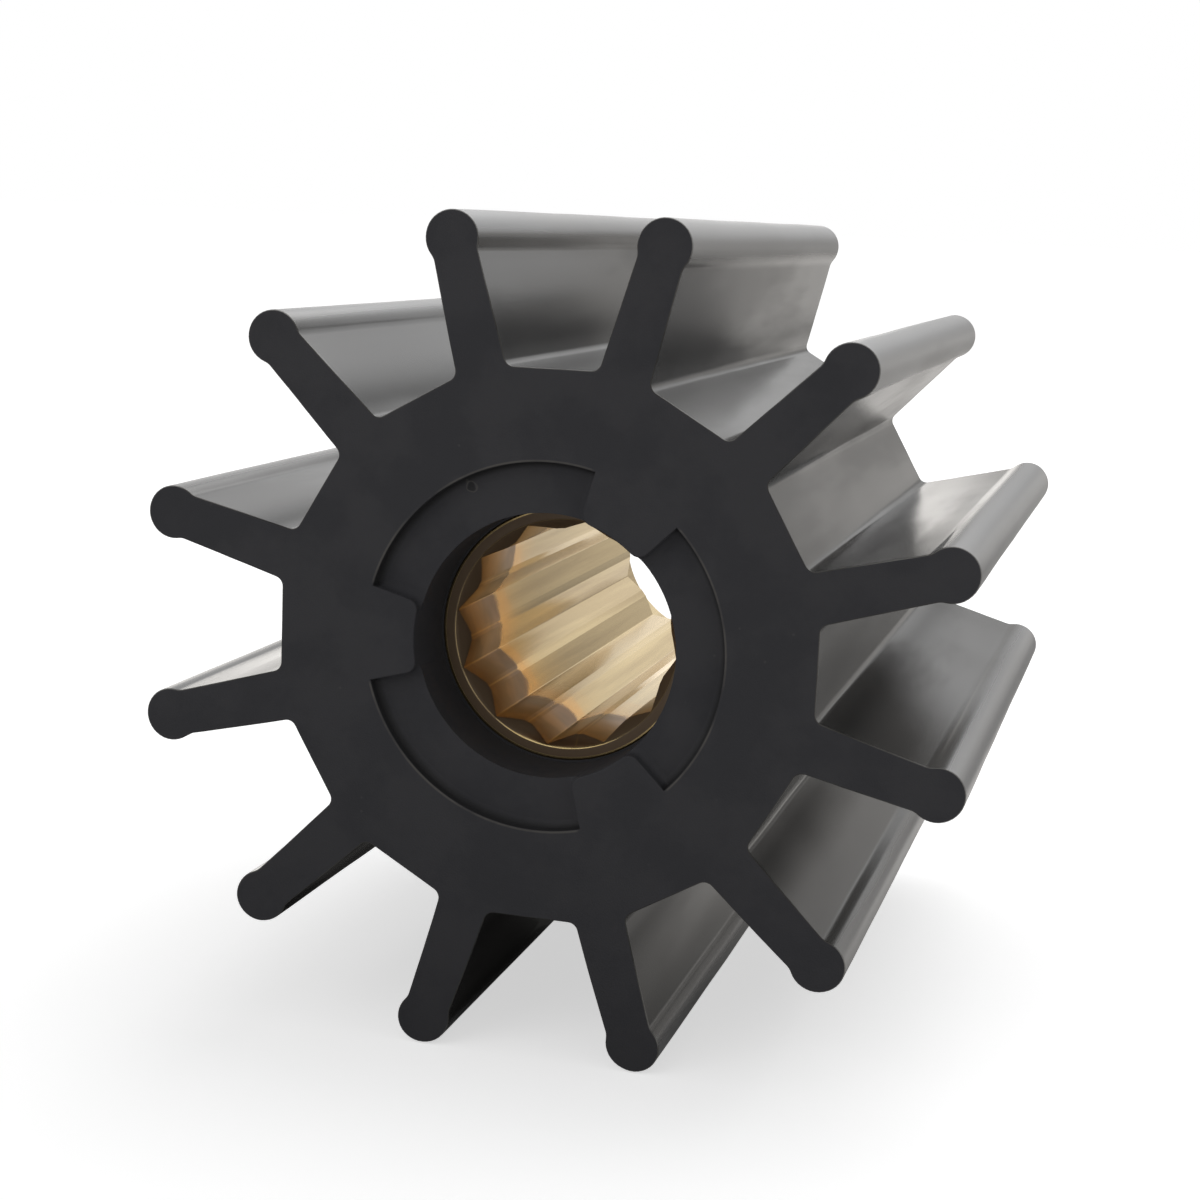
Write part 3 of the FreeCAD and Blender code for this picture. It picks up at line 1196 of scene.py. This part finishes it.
@dataclass(frozen=True)
class RubberMoulding:
    """The moulded rubber: hub, twelve blades, front recesses with their lugs, and the bore."""

    room: Room
    blade: BladeSection = BladeSection()
    recess: ArcRecess = ArcRecess()
    edge_radius: float = 0.10 * MM
    edge_steps: int = 3
    edge_margin: float = 0.12 * MM
    length_steps: int = 30
    first_turn: float = -105.0
    rear_pocket_radius: float = 14.7 * MM
    mouth_chamfer: float = 0.3 * MM
    splay: float = 0.57 * MM
    splay_width: float = 56.0
    splay_power: float = 1.6
    trim_waver: float = 0.04 * MM
    trim_reach: float = 3.0 * MM
    trim_scale: float = 320.0
    flank_waver: float = 0.10 * MM
    flank_scale: float = 45.0
    still_hub: Two = (0.93, 0.99)
    seed: float = 4.0
    bore_steps: int = 144
    crisp_angle: float = 38.0
    weld: float = 0.005 * MM

    def blade_cell(self) -> Mesh:
        """One blade with its share of the hub.

        Returns:
            Its mesh, down to the axis and from end to end.
        """
        levels = quarter_round(self.edge_radius, self.edge_steps)
        front, rear = self.room.front, self.room.rear
        start, end = front + self.edge_radius, rear - self.edge_radius
        shares = [step / self.length_steps for step in range(1, self.length_steps)]
        middle = [start + (end - start) * share for share in shares]
        stations = [(front + depth, inset) for depth, inset in levels]
        stations += [(y, 0.0) for y in (start + self.edge_margin, *middle, end - self.edge_margin)]
        stations += [(rear - depth, inset) for depth, inset in reversed(levels)]
        rings = []
        for y, inset in stations:
            rings.append([(0.0, y, 0.0)] + [(x, y, z) for x, z in self.blade.outline(inset)])
        return stacked("blade_cell", rings, open_at_axis=True)

    def bore_space(self) -> Mesh:
        """The space inside the rubber.

        Returns:
            Its mesh, with a soft lip at the front and a chamfer at the rear.
        """
        front, rear = self.room.front, self.room.rear
        shelf, step_back = front + FRONT_SETBACK, rear - REAR_SETBACK
        narrow, wide = self.rear_pocket_radius, self.rear_pocket_radius + self.mouth_chamfer
        pocket, lip = self.recess.pocket_radius, self.recess.lip_radius
        overcut = self.recess.overcut
        section = [(pocket + lip, front - overcut)]
        for depth, inset in quarter_round(lip, self.edge_steps):
            section.append((pocket + inset, front + depth))
        section += [(pocket, shelf), (INSERT_RADIUS, shelf)]
        section += [(INSERT_RADIUS, step_back), (narrow, step_back)]
        section += [(narrow, rear - self.mouth_chamfer), (wide, rear), (wide, rear + overcut)]
        rings = []
        for radius, y in section:
            turns = (360.0 * step / self.bore_steps for step in range(self.bore_steps))
            circle = (polar(radius, turn) for turn in turns)
            rings.append([(x, y, z + self.room.axis_height) for x, z in circle])
        return stacked("bore_space", rings)

    def tree(self, values: Mapping[str, Constant]) -> NodeTree:
        """The geometry tree that repeats the blade, bends and trims it, and cuts the bore.

        Args:
            values: what it is run with, by name.

        Returns:
            The tree.
        """
        sheet, given = piece_group("rubber moulding", values)
        shared = {"Axis Height": given["Axis Height"], "Weld": self.weld}
        blades = {label: given[label] for label in ("Cell", "First Turn")}
        blades["Count"] = given["Blades"]
        ring = sheet.group(ring_group(), blades | shared)
        mesh = self.waver(sheet, given, self.bend(sheet, given, ring))
        space = sheet.add("GeometryNodeObjectInfo", {"Object": given["Recess Space"]})
        cell = {"Cell": space.other("Geometry"), "Count": given["Recesses"]}
        cell["First Turn"] = given["First Recess"]
        recesses = sheet.group(ring_group(), cell | shared)
        bore = sheet.add("GeometryNodeObjectInfo", {"Object": given["Bore Space"]})
        for hollow in (bore.other("Geometry"), recesses):
            pair = {"Mesh 1": mesh, "Mesh 2": hollow}
            mesh = sheet.add(
                "GeometryNodeMeshBoolean", pair, operation="DIFFERENCE", solver="MANIFOLD"
            )
        edges = {"Mesh": mesh, "Corner Angle": math.radians(self.crisp_angle)}
        crisp = sheet.group(crease_group(), edges)
        point = self.point(sheet, given)
        inside = sheet.math("LESS_THAN", point.radius, given["Matte Radius"])
        trimmed = crisp.other(1).largest(inside)
        skin = {"Geometry": crisp, "Material": given["Moulded"]}
        ends = {
            "Geometry": sheet.add("GeometryNodeSetMaterial", skin),
            "Selection": trimmed,
            "Material": given["Trimmed"],
        }
        sheet.close(sheet.add("GeometryNodeSetMaterial", ends))
        return sheet.tree

    @staticmethod
    def point(sheet: NodeSheet, given: Mapping[str, Term]) -> SurfacePoint:
        """Each point's place about the shaft."""
        place = sheet.add("GeometryNodeInputPosition")
        return SurfacePoint(sheet, place, given["Axis Height"])

    def bend(self, sheet: NodeSheet, given: Mapping[str, Term], mesh: Term) -> Term:
        """Bends the blades under the hub apart, as its weight does.

        Args:
            sheet: the tree under construction.
            given: the tree's inputs.
            mesh: the ring of blades.

        Returns:
            The bent ring.
        """
        radius = self.point(sheet, given).radius
        name = {"Name": TURN_ATTRIBUTE}
        turn = sheet.add("GeometryNodeInputNamedAttribute", name, data_type="FLOAT")
        from_below = sheet.math("WRAP", turn + math.pi / 2, math.pi, -math.pi)
        spread = from_below / given["Splay Width"]
        fall = sheet.math("EXPONENT", spread * spread * -1.0)
        rise = (radius - given["Hub Radius"]) / (given["Bulb Centre"] - given["Hub Radius"])
        lever = sheet.math("POWER", rise.largest(0.0), self.splay_power)
        push = sheet.math("SIGN", from_below) * fall * (lever * given["Splay"])
        sideways = {0: sheet.math("SINE", turn) * -1.0, 2: sheet.math("COSINE", turn)}
        shift = sheet.scaled(sheet.add("ShaderNodeCombineXYZ", sideways), push)
        return sheet.add("GeometryNodeSetPosition", {"Geometry": mesh, "Offset": shift})

    def waver(self, sheet: NodeSheet, given: Mapping[str, Term], mesh: Term) -> Term:
        """Gives the flanks a slight waver, and the trimmed edges a finer one.

        Args:
            sheet: the tree under construction.
            given: the tree's inputs.
            mesh: the ring of blades.

        Returns:
            The wavering ring. Its end faces stay flat.
        """
        point = self.point(sheet, given)
        outside = (point.radius / given["Hub Radius"]).ramp(*self.still_hub)
        from_end = given["Half Length"] - abs(point.along - given["Middle"])
        near_end = (1.0 - from_end / given["Trim Reach"]).largest(0.0)
        shifts = []
        for scale, reach in (
            (self.trim_scale, given["Trim Waver"] * outside * near_end),
            (self.flank_scale, given["Flank Waver"] * outside),
        ):
            values = {"Vector": point.place, "W": given["Seed"], "Scale": scale, "Detail": 1.0}
            noise = sheet.add("ShaderNodeTexNoise", values, noise_dimensions="4D").other("Color")
            level = sheet.vector("SUBTRACT", noise, (0.5, 0.5, 0.5))
            shifts.append(sheet.scaled(sheet.vector("MULTIPLY", level, (2.0, 0.0, 2.0)), reach))
        shift = sheet.vector("ADD", *shifts)
        return sheet.add("GeometryNodeSetPosition", {"Geometry": mesh, "Offset": shift})

    def build(self) -> Object:
        """Makes the finished moulding and puts it in the CAD node's place.

        Returns:
            The piece.
        """
        recess = self.recess
        meshes = (self.bore_space(), recess.space(self.room.front))
        spaces = [put(mesh.name, mesh) for mesh in meshes]
        values = {
            "Blades": self.blade.count,
            "First Turn": math.radians(self.first_turn),
            "Axis Height": self.room.axis_height,
            "Hub Radius": self.blade.flat_distance,
            "Bulb Centre": self.blade.bulb_centre,
            "Middle": (self.room.front + self.room.rear) / 2,
            "Half Length": (self.room.rear - self.room.front) / 2,
            "Splay": self.splay,
            "Splay Width": math.radians(self.splay_width),
            "Trim Waver": self.trim_waver,
            "Trim Reach": self.trim_reach,
            "Flank Waver": self.flank_waver,
            "Seed": self.seed,
            "Bore Space": spaces[0],
            "Recess Space": spaces[1],
            "Recesses": recess.lug_count,
            "First Recess": math.radians(recess.first_lug + 180.0 / recess.lug_count),
            "Matte Radius": recess.radius + recess.lip_radius,
            # The trimmed faces carry the recesses' painted highlight and painted shade.
            "Trimmed": replace(TRIMMED_RUBBER, recess_painted_light=RecessPaintedLight(recess)).material(self.room),
            "Moulded": MOULDED_RUBBER.material(self.room),
        }
        mesh = bake_tree(self.blade_cell(), self.tree(values), values)
        for space in spaces:
            bpy.data.objects.remove(space)
        return place_piece("impeller_moulding", mesh, "rubber_impeller")


@dataclass(frozen=True)
class SplinedSleeve:
    """The brass sleeve: splined bore, countersunk mouth and the plain relief at its rear."""

    room: Room
    points: int = 12
    first_valley: float = 22.5
    valley_radius: float = 12.75 * MM
    crest_radius: float = 11.65 * MM
    valley_angle: float = 123.0
    rim_radius: float = 12.9 * MM
    countersink_half_angle: float = 34.0
    cone_shares: Two = (0.35, 0.7)
    relief_length: float = 4.0 * MM
    edge_chamfer: float = 0.2 * MM
    valley_round: float = 0.18 * MM
    crest_round: float = 0.12 * MM
    edge_round: float = 0.05 * MM
    film_margin: float = 0.15 * MM
    valley_steps: int = 4
    flank_steps: int = 4
    crest_steps: int = 3
    land_steps: int = 2
    bore_steps: int = 8
    crisp_angle: float = 28.0
    weld: float = 0.004 * MM

    @classmethod
    def between_pockets(cls, room: Room) -> "SplinedSleeve":
        """The sleeve that lies between the two pockets of the rubber in a room."""
        return cls(replace(room, front=room.front + FRONT_SETBACK, rear=room.rear - REAR_SETBACK))

    @property
    def slope(self) -> float:
        """How far the countersink goes inwards for each metre of depth."""
        return math.tan(math.radians(self.countersink_half_angle))

    def tooth_line(self) -> list[Two]:
        """The bore's outline from the middle of one crest to the next, valley on +X.

        Returns:
            (x, z) points, counter-clockwise as seen from the front.
        """
        half = math.radians(self.valley_angle / 2)
        across = self.valley_radius * math.sin(half)
        inward = self.valley_radius * math.cos(half)
        flank = inward - math.sqrt(self.crest_radius**2 - across**2)
        crest_turn = math.degrees(math.asin(flank * math.sin(half) / self.crest_radius))
        valley = (self.valley_radius, 0.0)
        crest_end = polar(self.crest_radius, crest_turn)
        crest_middle = polar(self.crest_radius, 180.0 / self.points)
        low_crest_end = polar(self.crest_radius, -crest_turn)
        soft_valley = (self.valley_round, self.valley_steps)
        valley_arc = rounded_corner(low_crest_end, valley, crest_end, *soft_valley)
        soft_crest = (self.crest_round, self.crest_steps)
        crest_arc = rounded_corner(valley, crest_end, crest_middle, *soft_crest)
        start, end = Vector(valley_arc[-1]), Vector(crest_arc[0])
        shares = [step / self.flank_steps for step in range(1, self.flank_steps)]
        flank_points = [tuple(start.lerp(end, share)) for share in shares]
        land = arc_points((0.0, 0.0), crest_arc[-1], crest_middle, self.land_steps)[1:]
        upper = valley_arc[self.valley_steps // 2 :] + flank_points + crest_arc + land
        lower = [(x, -z) for x, z in upper[1:]]
        return lower[::-1] + upper

    def rows(self, bore: float) -> list[Two]:
        """The sleeve's section at one angle, as a closed loop of (radius, y) points.

        Args:
            bore: the splined bore's radius at that angle.

        Returns:
            The loop, from the outer wall's front end round through the bore.
        """
        front, rear, rim, outer = self.room.front, self.room.rear, self.rim_radius, INSERT_RADIUS
        slope, chamfer, soft = self.slope, self.edge_chamfer, self.edge_round
        relief = rear - self.relief_length
        meet = front + (rim - bore) / slope
        loop = [(outer, front + chamfer), (outer - chamfer, front)]
        loop += [(rim + soft, front), (rim - soft * slope, front + soft)]
        for share in self.cone_shares:
            radius = rim + (bore - rim) * share
            loop.append((radius, front + (rim - radius) / slope))
        loop += [(bore + soft * slope, meet - soft), (bore, meet + soft)]
        for step in range(1, self.bore_steps + 1):
            loop.append((bore, meet + soft + (relief - meet - soft) * step / self.bore_steps))
        loop += [(rim, relief), (rim, rear - chamfer), (rim + chamfer, rear)]
        return loop + [(outer - chamfer, rear), (outer, rear - chamfer)]

    def tooth_cell(self) -> Mesh:
        """One spline valley with its share of the sleeve's wall.

        Returns:
            Its mesh, from end to end.
        """
        line = self.tooth_line()
        points: list[Sequence[float]] = []
        for x, z in line:
            turn = math.degrees(math.atan2(z, x))
            for radius, y in self.rows(math.hypot(x, z)):
                across, up = polar(radius, turn)
                points.append((across, y, up))
        count = len(points) // len(line)
        faces = []
        for near in range(0, len(points) - count, count):
            far = near + count
            for index in range(count):
                after = (index + 1) % count
                faces.append([near + index, near + after, far + after, far + index])
        return mesh_from("tooth_cell", points, faces)

    def tree(self, values: Mapping[str, Constant]) -> NodeTree:
        """The geometry tree that repeats the spline's teeth into the whole sleeve.

        Args:
            values: what it is run with, by name.

        Returns:
            The tree.
        """
        sheet, given = piece_group("splined sleeve", values)
        teeth = {"Cell": given["Cell"], "Count": given["Points"], "Weld": self.weld}
        teeth |= {label: given[label] for label in ("First Turn", "Axis Height")}
        ring = sheet.group(ring_group(), teeth)
        edges = {"Mesh": ring, "Corner Angle": math.radians(self.crisp_angle)}
        crisp = sheet.group(crease_group(), edges)
        dress = {"Geometry": crisp, "Material": given["Brass"]}
        sheet.close(sheet.add("GeometryNodeSetMaterial", dress))
        return sheet.tree

    def build(self) -> Object:
        """Makes the finished sleeve and puts it in the CAD node's place.

        Returns:
            The piece.
        """
        finish = BrassFinish(
            room=self.room,
            film_band=(self.rim_radius, INSERT_RADIUS - self.edge_chamfer - self.film_margin),
            slope=self.slope,
            points=self.points,
            first_valley=self.first_valley,
        )
        values = {
            "Points": self.points,
            "First Turn": math.radians(self.first_valley),
            "Axis Height": self.room.axis_height,
            "Brass": finish.material(),
        }
        mesh = bake_tree(self.tooth_cell(), self.tree(values), values)
        return place_piece("spline_sleeve", mesh, "splined_insert")


def place_piece(name: str, mesh: Mesh, node: str) -> Object:
    """Adds a finished mesh to the scene as the piece that stands for a CAD node.

    Args:
        name: the piece's name.
        mesh: its mesh, already in place.
        node: the CAD node that it stands for.

    Returns:
        The piece.
    """
    mesh.name = name
    if TURN_ATTRIBUTE in mesh.attributes:
        mesh.attributes.remove(mesh.attributes[TURN_ATTRIBUTE])
    piece = put(name, mesh)
    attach(piece, ROOT_BODY)
    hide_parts(node)
    log.info("%s: %d faces, stands for %s", name, len(mesh.polygons), node)
    return piece


@dataclass(frozen=True)
class SoftBox:
    """One soft lamp of the studio.

    Attributes:
        side: its width and height.
        glow: radiance of its face, where 1 shows white.
    """

    name: str
    place: Three
    side: float
    glow: float

    def hang(self, target: Vector) -> None:
        """Hangs the lamp.

        Args:
            target: the point that it faces.
        """
        light = bpy.data.lights.new(self.name, "AREA")
        light.shape = "RECTANGLE"
        light.size = light.size_y = self.side
        light.energy = self.glow * math.pi * self.side**2
        lamp = put(self.name, light)
        lamp.location = self.place
        lamp.rotation_mode = "QUATERNION"
        lamp.rotation_quaternion = (target - Vector(self.place)).to_track_quat("-Z", "Y")


@dataclass(frozen=True)
class GreySweep:
    """The table and room that the impeller mirrors, as a glowing grey sweep that only reflections
    see: painted reflections, with the impeller's shadow painted on it.

    Bearings are in degrees from +Y towards +X.

    Attributes:
        level: its height above the floor.
        front, rear: how far it reaches before it turns up, and how high its end is.
        shadow_reach: distances between which it passes out of the shadow.
        shadow_glow: how bright it is in the shadow and outside it.
        far_reach, far_glow: distances between which it gets darker, and the share it keeps.
        top, top_height, top_glow: the darker patch behind, its start and end in height, its share.
        dark, dark_glow: the darker sector behind, and its share.
        dark_start, dark_height: where that sector begins in distance and fades in height.
        left, left_glow: the lighter sector on the left, and its share.
        front_turn, front_glow: bearings between which the front gets darker, and its share.
    """

    half_width: float = 3.0
    level: float = 0.1 * MM
    front: Two = (-1.2, 1.0)
    rear: Two = (1.2, 0.26)
    tint: Three = (1.0, 0.972, 0.935)
    shadow_middle: Three = (-0.04, -0.02, 0.0)
    shadow_reach: Two = (0.03, 0.16)
    shadow_glow: Two = (0.02, 0.95)
    far_reach: Two = (0.28, 0.45)
    far_glow: float = 0.90
    top: Band = Band.of_bearings(-4.0, 7.0, 5.0)
    top_height: Two = (0.04, 0.16)
    top_glow: float = 0.30
    dark: Band = Band.of_bearings(17.0, 50.0, 9.0)
    dark_glow: float = 0.34
    dark_start: Two = (0.14, 0.26)
    dark_height: Four = (0.0, 0.05, 1.0, 0.6)
    left: Band = Band.of_bearings(-100.0, -9.0, 8.0)
    left_glow: float = 2.0
    front_turn: Two = (115.0, 145.0)
    front_glow: float = 0.60

    def glow(self, sheet: NodeSheet) -> Term:
        """How bright the sweep looks from place to place: its painted reflections and painted
        shadow.

        Args:
            sheet: the tree of the sweep's material.

        Returns:
            The glow.
        """
        place = sheet.place()
        across, along, height = sheet.split(place)
        bearing = sheet.math("ARCTAN2", across, along)
        away = sheet.length(sheet.vector("SUBTRACT", place, self.shadow_middle))
        lit = away.ramp(*self.shadow_reach, *self.shadow_glow)
        far = away.ramp(*self.far_reach, 1.0, self.far_glow)
        top = height.ramp(*self.top_height) * self.top.mask(bearing)
        low = away.ramp(*self.dark_start) * height.ramp(*self.dark_height)
        dark = self.dark.mask(bearing) * low
        shares = top.ramp(0.0, 1.0, 1.0, self.top_glow) * (
            dark.ramp(0.0, 1.0, 1.0, self.dark_glow)
            * self.left.mask(bearing).ramp(0.0, 1.0, 1.0, self.left_glow)
        )
        start, end = (math.radians(turn) for turn in self.front_turn)
        return lit * far * (shares * abs(bearing).ramp(start, end, 1.0, self.front_glow))

    def lay(self) -> None:
        """Lays the sweep, turned up in front of the impeller and behind it."""
        (front, front_top), (rear, rear_top) = self.front, self.rear
        rows = [(front, front_top), (front, self.level), (rear, self.level), (rear, rear_top)]
        corners = [(x, y, z) for y, z in rows for x in (-self.half_width, self.half_width)]
        faces = [(low, low + 1, low + 3, low + 2) for low in (0, 2, 4)]
        sweep = put("grey_sweep", mesh_from("grey_sweep", corners, faces))
        made, sheet, shader = new_material("sweep_grey")
        values = {
            "Base Color": (0.0, 0.0, 0.0),
            "Specular IOR Level": 0.0,
            "Emission Color": self.tint,
            "Emission Strength": self.glow(sheet),
        }
        sheet.fill(shader, values)
        sweep.data.materials.append(made)
        sweep.visible_camera = False
        sweep.visible_diffuse = False
        sweep.visible_shadow = False
        sweep.visible_transmission = False


@dataclass(frozen=True)
class Studio:
    """Pale floor, white surroundings, grey sweep, soft lamps and the camera."""

    room: Room
    floor_half_width: float = 30.0
    floor_tone: float = 0.80
    floor_roughness: float = 0.9
    floor_lift: Two = (0.60, 0.85)
    lift_reach: Two = (0.3, 1.5)
    surround: float = 0.30
    sweep: GreySweep = GreySweep()
    lens: float = 67.51
    sensor: float = 36.0
    nearest: float = 0.01
    camera_place: Three = (0.06629, -0.27310, 0.09151)
    camera_right: Three = (0.9640, 0.2625, 0.0429)
    camera_up: Three = (-0.0846, 0.1499, 0.9851)
    boxes: tuple[SoftBox, ...] = (
        SoftBox("top_box", (0.15, 0.45, 0.80), 1.0, 1.6),
        SoftBox("front_fill", (-0.5, -0.9, 0.6), 0.8, 0.8),
    )

    def lay_floor(self) -> None:
        """Lays the pale floor, which keeps the impeller's shadow."""
        half = self.floor_half_width
        corners = [(-half, -half, 0.0), (half, -half, 0.0), (half, half, 0.0), (-half, half, 0.0)]
        floor = put("floor", mesh_from("floor", corners, [(0, 1, 2, 3)]))
        made, sheet, shader = new_material("floor_white")
        away = sheet.length(sheet.place())
        lift = away.ramp(*self.lift_reach, *self.floor_lift)
        values = {
            "Base Color": (self.floor_tone,) * 3,
            "Roughness": self.floor_roughness,
            "Specular IOR Level": 0.0,
            "Emission Color": (1.0, 1.0, 1.0),
            "Emission Strength": self.seen(sheet) * lift,
        }
        sheet.fill(shader, values)
        floor.data.materials.append(made)

    @staticmethod
    def seen(sheet: NodeSheet) -> Term:
        """1 for rays that show the background: camera, glossy and transmission rays."""
        camera = sheet.add("ShaderNodeLightPath")
        glossy, through = camera.other("Is Glossy Ray"), camera.other("Is Transmission Ray")
        return camera.largest(glossy).largest(through)

    def set_world(self) -> None:
        """Makes the surroundings white to look at and dimmer as a light."""
        world = bpy.data.worlds.new("studio")
        world.use_nodes = True
        bpy.context.scene.world = world
        sheet = NodeSheet(world.node_tree)
        strength = self.seen(sheet).ramp(0.0, 1.0, self.surround, 1.0)
        values = {"Color": (1.0, 1.0, 1.0), "Strength": strength}
        sheet.fill(world.node_tree.nodes["Background"], values)

    def set_camera(self) -> None:
        """Sets the camera where the photograph was taken from."""
        lens = bpy.data.cameras.new("camera")
        lens.lens = self.lens
        lens.sensor_width = self.sensor
        lens.clip_start = self.nearest
        camera = put("camera", lens)
        right = Vector(self.camera_right).normalized()
        back = right.cross(Vector(self.camera_up)).normalized()
        up = back.cross(right)
        turn = Matrix((right, up, back)).transposed()
        camera.matrix_world = Matrix.Translation(self.camera_place) @ turn.to_4x4()
        bpy.context.scene.camera = camera

    def build(self) -> None:
        """Builds the whole studio."""
        self.lay_floor()
        self.sweep.lay()
        self.set_world()
        self.set_camera()
        middle = Vector((0.0, (self.room.front + self.room.rear) / 2, self.room.axis_height))
        for box in self.boxes:
            box.hang(middle)
        bpy.context.scene.view_settings.view_transform = "Standard"
        log.info("studio: %d soft boxes", len(self.boxes))


def main() -> None:
    """Builds the pieces and the studio in order."""
    logging.basicConfig(level=logging.INFO, format="%(message)s")
    room = Room.of_node("rubber_impeller")
    for builder in (RubberMoulding(room), SplinedSleeve.between_pockets(room)):
        piece = builder.build()
        log.info("built %s", piece.name)
    Studio(room).build()


if __name__ == "__main__":
    main()
